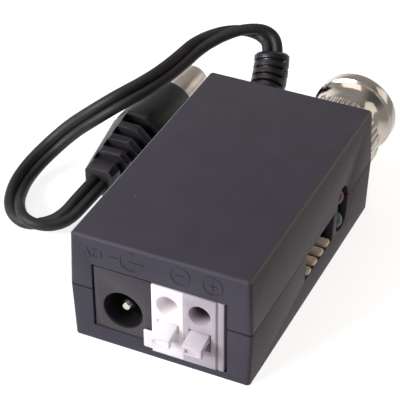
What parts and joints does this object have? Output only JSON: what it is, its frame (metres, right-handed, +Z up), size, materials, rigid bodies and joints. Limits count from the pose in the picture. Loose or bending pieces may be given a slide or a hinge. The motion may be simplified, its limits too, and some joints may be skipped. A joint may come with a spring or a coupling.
{
  "type": "video balun",
  "caption": "Small plastic video balun with a bayonet coax plug, spring wire terminals, a power jack, a DIP switch and a short power lead with a barrel plug.",
  "frame": {"origin": "middle of the case's bottom face", "axes": "+X to the right, +Y from the wire terminals to the coax plug, +Z up"},
  "size_m": [0.0565, 0.0687, 0.0205],
  "materials": {
    "case_plastic": "fine-grained dark grey ABS",
    "board_laminate": "solder-masked laminate",
    "ferrite": "sintered ferrite",
    "enamelled_wire": "enamelled copper wire",
    "chip_resin": "black moulding resin",
    "capacitor_sleeve": "shrunk sleeve",
    "jack_plastic": "black moulded plastic",
    "nickel": "bright nickel plate",
    "tinned_metal": "tinned",
    "white_nylon": "white nylon",
    "grey_nylon": "light grey nylon",
    "spring_steel": "spring steel",
    "switch_plastic": "black plastic",
    "key_plastic": "cream plastic",
    "red_resin": "tinted clear resin",
    "green_resin": "tinted clear resin",
    "ptfe": "fluoropolymer",
    "gold_brass": "gold-flashed brass",
    "gasket_rubber": "silicone rubber",
    "soft_pvc": "soft black PVC",
    "lead_pvc": "smooth black PVC"
  },
  "bodies": {
    "case": {"bottom_shell": "case_plastic", "top_cover": "case_plastic", "circuit_board": "board_laminate", "balun_core": "ferrite", "balun_winding": "enamelled_wire", "driver_chip": "chip_resin", "filter_capacitor": "capacitor_sleeve", "jack_housing": "jack_plastic", "jack_pin": "nickel", "jack_spring_contact": "tinned_metal", "terminal_white": "white_nylon", "terminal_grey": "grey_nylon", "terminal_end_plate": "grey_nylon", "clamp_spring_white": "spring_steel", "clamp_spring_grey": "spring_steel", "contact_white": "tinned_metal", "contact_grey": "tinned_metal", "dip_body": "switch_plastic", "led_red": "red_resin", "led_green": "green_resin", "bnc_body": "nickel", "bnc_insulator": "ptfe", "bnc_centre_pin": "gold_brass", "bnc_gasket": "gasket_rubber", "bnc_retaining_ring": "spring_steel", "bnc_wave_washer": "spring_steel", "strain_relief": "soft_pvc", "inner_leads": "lead_pvc", "pigtail_cable": "lead_pvc", "plug_body": "soft_pvc", "plug_barrel": "nickel", "plug_insulator": "chip_resin", "plug_contact": "tinned_metal"},
    "lever_white": {"lever_white": "white_nylon"},
    "lever_grey": {"lever_grey": "grey_nylon"},
    "coupling_nut": {"bnc_coupling_nut": "nickel"},
    "key_1": {"dip_key_1": "key_plastic"},
    "key_2": {"dip_key_2": "key_plastic"},
    "key_3": {"dip_key_3": "key_plastic"},
    "key_4": {"dip_key_4": "key_plastic"}
  },
  "joints": [
    {"name": "lever_white_press", "type": "hinge", "parent": "case", "child": "lever_white", "pos_m": [0.00134, -0.01927, 0.0064], "axis": [1, 0, 0], "range_deg": [0, 15], "stiffness_Nm_per_rad": 0.02},
    {"name": "lever_grey_press", "type": "hinge", "parent": "case", "child": "lever_grey", "pos_m": [0.00642, -0.01927, 0.0064], "axis": [1, 0, 0], "range_deg": [0, 15], "stiffness_Nm_per_rad": 0.02},
    {"name": "key_1_tilt", "type": "hinge", "parent": "case", "child": "key_1", "pos_m": [0.0104, -0.00251, 0.00568], "axis": [0, -1, 0], "range_deg": [0, 30]},
    {"name": "key_2_tilt", "type": "hinge", "parent": "case", "child": "key_2", "pos_m": [0.0104, 0.00003, 0.00568], "axis": [0, -1, 0], "range_deg": [0, 30]},
    {"name": "key_3_tilt", "type": "hinge", "parent": "case", "child": "key_3", "pos_m": [0.0104, 0.00257, 0.00568], "axis": [0, -1, 0], "range_deg": [0, 30]},
    {"name": "key_4_tilt", "type": "hinge", "parent": "case", "child": "key_4", "pos_m": [0.0104, 0.00511, 0.00568], "axis": [0, -1, 0], "range_deg": [0, 30]},
    {"name": "coupling_nut_turn", "type": "hinge", "parent": "case", "child": "coupling_nut", "pos_m": [0.00705, 0.03, 0.00965], "axis": [0, 1, 0], "continuous": true}
  ]
}
